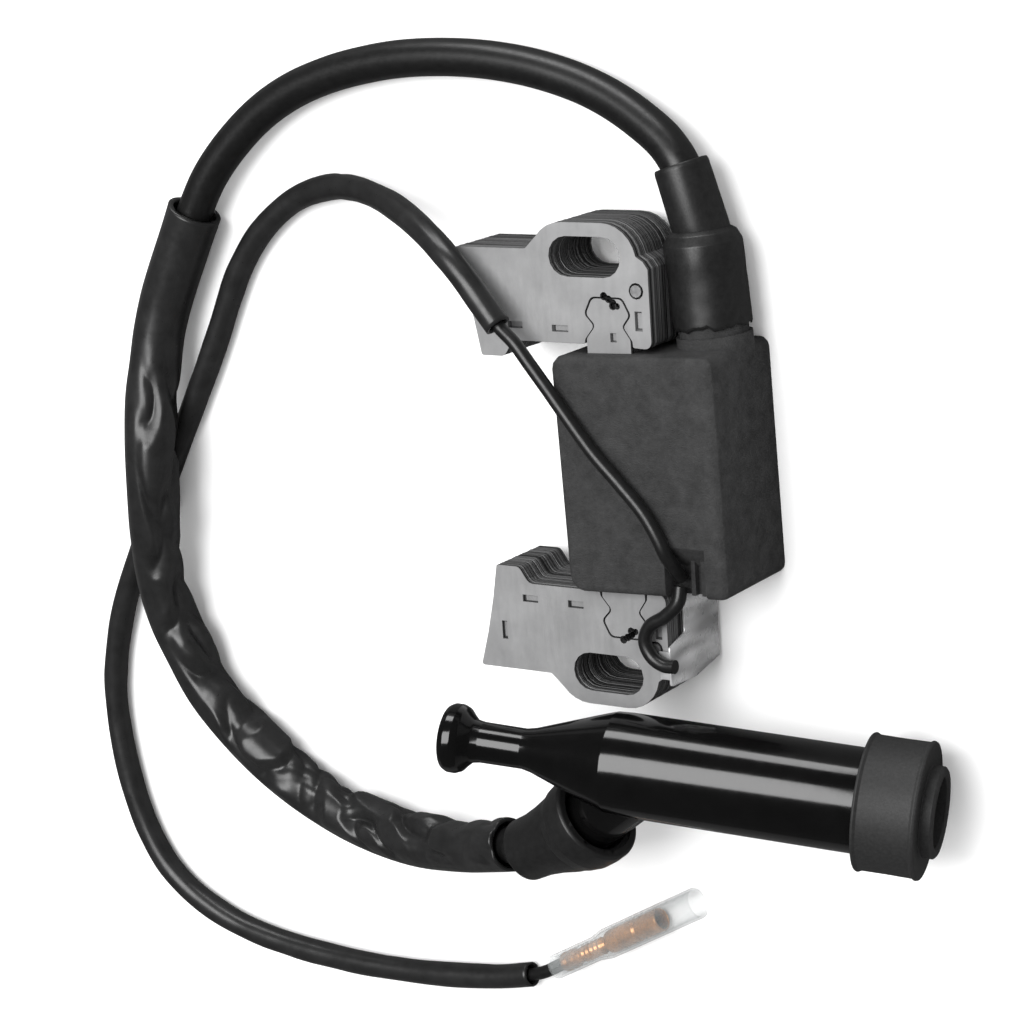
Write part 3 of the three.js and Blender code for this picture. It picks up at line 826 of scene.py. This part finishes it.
def sheet_stack(name, node, side, seed):
    """The CAD leg or yoke again as pressed sheets, each a little rounded and out of line."""
    outline, normals, border, low, high = front_outline(node)
    offsets = [mitred(pair) for pair in normals]
    rings = loops_of(border)
    ends = [place + offset * -FRONT_ROUNDING for place, offset in zip(outline, offsets)]
    order = [corner for ring in rings for corner in ring]
    flat = [[Vector((*ends[corner], 0)) for corner in ring] for ring in rings]
    caps = [[order[index] for index in triple] for triple in tessellate_polygon(flat)]
    levels = sheet_levels(low, high, seed)
    points = []
    for z, inset in levels:
        for place, offset in zip(outline, offsets):
            spot = place + offset * inset
            points.append((spot.x, spot.y, z))
    count = len(outline)
    faces = []
    for level in range(len(levels) - 1):
        for start, end in border:
            below = level * count
            above = below + count
            faces.append((below + start, below + end, above + end, above + start))
    top = (len(levels) - 1) * count
    edges = len(faces)
    faces += [[top + corner for corner in cap] for cap in caps]
    faces += [list(reversed(cap)) for cap in caps]
    piece = mesh_object(name, points, faces, "coil", smooth=False)
    face_outwards(piece)
    paint_core(piece, lambda face: face.index >= edges)
    combine(piece, pressings(side), "DIFFERENCE", crossing=True)
    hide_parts(node)
    return piece


def core():
    sheet_stack("upper_leg_sheets", "core_upper_leg", 1, 3)
    sheet_stack("lower_leg_sheets", "core_lower_leg", -1, 5)
    yoke = sheet_stack("yoke_sheets", "core_yoke", 1, 8)
    combine(yoke, pressings(-1), "DIFFERENCE", crossing=True)


# Case and boots

def case():
    piece = cad_copy("case_shell", "coil_case", "coil")
    bevel(piece, 0.35)
    dress(piece, "case")


def strap():
    piece = cad_copy("strap_sheet", "ground_strap", "coil")
    bevel(piece, 0.15)
    dress(piece, "tinned")


def tower_boot():
    grip = turned("tower_boot_skin", softened([
        (0, 2.9), (BOOT_RADIUS - 0.2, 2.9), (BOOT_RADIUS, 3.6),
        *((BOOT_RADIUS, 4.6 + 1.1 * step) for step in range(12)), (BOOT_RADIUS, BOOT_BEND - 2.4),
        (BOOT_RADIUS - 0.9, BOOT_BEND - 0.7), (BOOT_TIP_RADIUS, BOOT_BEND), (0, BOOT_BEND),
    ], 0.8), TOWER, TOWER_AXIS, "coil")
    tip = turned("tip", softened([
        (0, -2), (BOOT_TIP_RADIUS - 0.1, -2), (BOOT_TIP_RADIUS, 1), (BOOT_TIP_RADIUS - 0.1, 11),
        (BOOT_TIP_RADIUS - 0.3, 11.8), (0, 11.8),
    ], 0.5), BOOT_TIP, BOOT_TIP_AXIS, "coil")
    combine(grip, tip, "UNION")
    for bore in (
        turned("bore", [(0, 2), (6.5, 2), (6.5, 5.3), (5.25, 5.3), (5.25, 12.4), (3.95, 12.6),
                        (3.95, 21.5), (0, 21.5)], TOWER, TOWER_AXIS, "coil"),
        turned("tip_bore", [(0, -1.2), (3.95, -1.2), (3.95, 7.5), (4.4, 12.5), (0, 12.5)],
               BOOT_TIP, BOOT_TIP_AXIS, "coil"),
    ):
        combine(grip, bore, "DIFFERENCE")
    for vertex in grip.data.vertices:
        place = vertex.co / MM - TOWER
        height = place.dot(TOWER_AXIS)
        out = (place - TOWER_AXIS * height).normalized()
        ragged = noise.noise(out * 4.5) + 0.5 * noise.noise(out * 13)
        dent = noise.noise(place * 0.16) + 0.4 * noise.noise(place * 0.4)
        lift = (1.0 + 0.9 * ragged) * (1 - ramp(height, 2.9, 6.5))
        vertex.co += (TOWER_AXIS * lift + out * 0.28 * dent * ramp(height, 3.5, 7)) * MM
    grip.data.shade_smooth()
    grip.data.set_sharp_from_angle(angle=math.radians(35))
    dress(grip, "boot")
    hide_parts("tower_boot")
    return grip


# Plug cap

def cap_body():
    shell = turned("cap_shell", softened([
        (0, -39.6), (3.2, -39.7), (4.8, -40.2), (5.8, -39.8), (6.35, -38.8), (6.35, -37.4), (5.9, -36.3),
        (4.9, -35.4), (4, -34.4), (3.75, -32.9), (3.7, -24.9), (4.1, -23), (8.5, -10.4), (9.2, -8.2),
        (BARREL_RADIUS, -5.5),
        (BARREL_RADIUS, 46.6), (BARREL_BORE, 46.6), (BARREL_BORE, -4.5), (4.5, -7.5), (0, -7.5),
    ], 0.9, 5), JUNCTION, CAP_AXIS, "plug_cap", 128)
    spigot = turned("spigot", softened([
        (0, 0), (SPIGOT_RADIUS, 0), (SPIGOT_RADIUS, SPIGOT_END), (0, SPIGOT_END),
    ], 0.8), JUNCTION, SPIGOT_AXIS, "plug_cap", 96)
    combine(shell, spigot, "UNION")
    bore = turned("bore", [(0, -6), (BARREL_BORE - 0.05, -4.4), (BARREL_BORE - 0.05, 47), (0, 47)],
                  JUNCTION, CAP_AXIS, "plug_cap", 96)
    combine(shell, bore, "DIFFERENCE")
    lead_way = turned("lead_way", [(0, 0), (3.9, 0), (3.9, 19), (4.4, 24), (0, 24)],
                      JUNCTION, SPIGOT_AXIS, "plug_cap", 64)
    combine(shell, lead_way, "DIFFERENCE")
    shell.data.shade_smooth()
    shell.data.set_sharp_from_angle(angle=math.radians(28))
    dress(shell, "cap")
    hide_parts("cap_body")
    return shell


def cap_seal():
    rim = BARREL_RADIUS + 0.3
    seal = turned("seal_ring", softened([
        (rim, 38.1), (12.1, 38), (12.3, 38.4), (11.95, 38.9), (11.9, 43.5), (11.95, 48),
        (12.25, 48.5), (12.1, 49), (11.6, 49.1), (8.1, 49.1), (8.1, 51), (7.6, 51.4), (6.6, 51.4),
        (6.2, 51), (6.2, 47), (rim, 47), (rim, 38.1),
    ], 0.25), JUNCTION, CAP_AXIS, "plug_cap", 128)
    seal.data.set_sharp_from_angle(angle=math.radians(40))
    dress(seal, "seal")
    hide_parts("cap_seal")
    return seal


def cap_boot():
    mouth = JUNCTION + SPIGOT_AXIS * BOOT_MOUTH
    cup = turned("cap_boot_skin", softened([
        (0, 0), (8.6, 0), (9.05, 0.5), (9.05, 2.5), (8.75, 5), (7.9, 7.5), (0, 7.5),
    ], 0.6), mouth, SPIGOT_AXIS, "coil", 96)
    funnel = turned("funnel", softened([
        (0, -1), (8.2, -1), (7.7, 3.5), (6.7, 7.5), (6.1, 11), (5.9, 15.2), (0, 15.2),
    ], 0.6), PIVOT, BOOT_AXIS, "coil", 96)
    combine(cup, funnel, "UNION")
    socket = turned("socket", [
        (0, -1), (7.6, -1), (7.4, 0.4), (6.7, 0.8), (6.7, 1.6), (7, 1.8), (7, 2.6), (6.4, 3), (6.4, 5.6),
        (0, 5.6),
    ], mouth, SPIGOT_AXIS, "coil", 96)
    combine(cup, socket, "DIFFERENCE")
    lead_way = turned("lead_way", [(0, -1), (4.6, -1), (4.6, 10), (4.2, 16), (0, 16)],
                      PIVOT, BOOT_AXIS, "coil", 64)
    combine(cup, lead_way, "DIFFERENCE")
    cup.data.shade_smooth()
    cup.data.set_sharp_from_angle(angle=math.radians(35))
    dress(cup, "boot")
    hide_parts("cap_boot")
    return cup


# Bullet terminal and its cover

def bullet():
    serrations = []
    for tooth in range(5):
        serrations += [(1.75, 8.2 + 1.15 * tooth), (1.45, 8.8 + 1.15 * tooth)]
    terminal = turned("bullet_socket", softened([
        (0, 7.3), (1.42, 7.3), (1.42, 2.7), (1.8, 2.7), (1.95, 3.4), (1.75, 4.2), (1.95, 5), (1.8, 5.9),
        (1.3, 6.4), (1.3, 7.8), *serrations, (1.2, 14.1), (2.2, 14.9), (2.3, 15.6), (2.3, 22),
        (2.05, 22.6), (2.3, 23.4), (2.3, 28), (2.1, 28.3), (1.9, 28.1), (1.9, 16), (0, 16),
    ], 0.15, 3), BULLET, BULLET_AXIS, "coil", 48)
    terminal.data.set_sharp_from_angle(angle=math.radians(40))
    dress(terminal, "copper")
    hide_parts("bullet_terminal")
    cover = turned("clear_cover", softened([
        (1.98, 0), (2.4, 0), (2.4, 11), (3, 14), (3, COVER_LENGTH), (2.6, COVER_LENGTH),
        (2.6, 14.2), (1.98, 11.2), (1.98, 0),
    ], 0.15, 3), BULLET, BULLET_AXIS, "push_back_cover", 64)
    dress(cover, "clear")
    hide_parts("terminal_cover")
    return terminal, cover


# CAD nodes that keep their own shape

KEPT = {
    "core_rivet_upper": "rivet",
    "core_rivet_lower": "rivet",
    "potting_resin": "resin",
    "bobbin": "bobbin",
    "primary_winding": "winding",
    "secondary_winding": "winding",
    "module_board": "board",
    "power_transistor": "chip",
    "control_chip": "chip",
    "ht_terminal": "brass",
    "lead_screw": "brass",
    "resistor": "ceramic",
    "contact_spring": "rivet",
    "plug_contact": "brass",
}


def kept_nodes():
    for node, material in KEPT.items():
        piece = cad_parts[node]
        piece.data.materials.clear()
        piece.data.materials.append(MATERIALS[material])


lead, lead_path, lead_sleeve = lead_and_sleeve()
wire, wire_path, wire_sleeve = wire_and_sleeve()
ground_loop()
core()
case()
strap()
boot = tower_boot()
cap = cap_body()
seal = cap_seal()
lead_boot = cap_boot()
terminal, cover = bullet()
kept_nodes()


# Floor, light and background

def by_ray(tree, camera_value, glossy_value, other_value):
    """A strength that is one value seen directly, one in reflections and one for everything else."""
    path = tree.nodes.new("ShaderNodeLightPath")
    glossy = tree.nodes.new("ShaderNodeMix")
    glossy.inputs["A"].default_value = other_value
    glossy.inputs["B"].default_value = glossy_value
    tree.links.new(path.outputs["Is Glossy Ray"], glossy.inputs["Factor"])
    seen = tree.nodes.new("ShaderNodeMix")
    seen.inputs["B"].default_value = camera_value
    tree.links.new(path.outputs["Is Camera Ray"], seen.inputs["Factor"])
    tree.links.new(glossy.outputs["Result"], seen.inputs["A"])
    return seen.outputs["Result"]


def stage_floor():
    bpy.ops.mesh.primitive_plane_add(size=6, location=(0, 0, 0))
    floor = bpy.context.object
    floor.name = "floor"
    material = new_material("floor", gray(0.85), 0.9, Specular_IOR_Level=0.1)
    tree = material.node_tree
    combined = tree.nodes.new("ShaderNodeCombineColor")
    strength = by_ray(tree, 0.97, 0.1, 0.72)
    for channel in ("Red", "Green", "Blue"):
        tree.links.new(strength, combined.inputs[channel])
    tree.links.new(combined.outputs["Color"], shader_of(material).inputs["Base Color"])
    floor.data.materials.append(material)


def softbox(name, place, target, size, radiance):
    """A rectangular lamp with the given brightness, its first side lying level."""
    data = bpy.data.lights.new(name, "AREA")
    data.shape = "RECTANGLE"
    data.size, data.size_y = size
    data.energy = radiance * math.pi * size[0] * size[1]
    lamp = bpy.data.objects.new(name, data)
    lamp.location = place
    lamp.rotation_euler = (Vector(target) - Vector(place)).to_track_quat("-Z", "Y").to_euler()
    bpy.context.collection.objects.link(lamp)


def background():
    world = bpy.data.worlds.new("studio")
    world.use_nodes = True
    tree = world.node_tree
    shader = tree.nodes["Background"]
    shader.inputs["Color"].default_value = (1, 1, 1, 1)
    tree.links.new(by_ray(tree, 1.0, 0.06, 0.95), shader.inputs["Strength"])
    bpy.context.scene.world = world
    bpy.context.scene.view_settings.view_transform = "Standard"


stage_floor()
background()
softbox("overhead", (-0.12, 0.4, 1.33), (0.03, -0.05, 0), (0.95, 0.85), 8)
softbox("low_side", (-0.35, 1.5, 0.24), (0.03, -0.05, 0), (0.95, 0.46), 7)
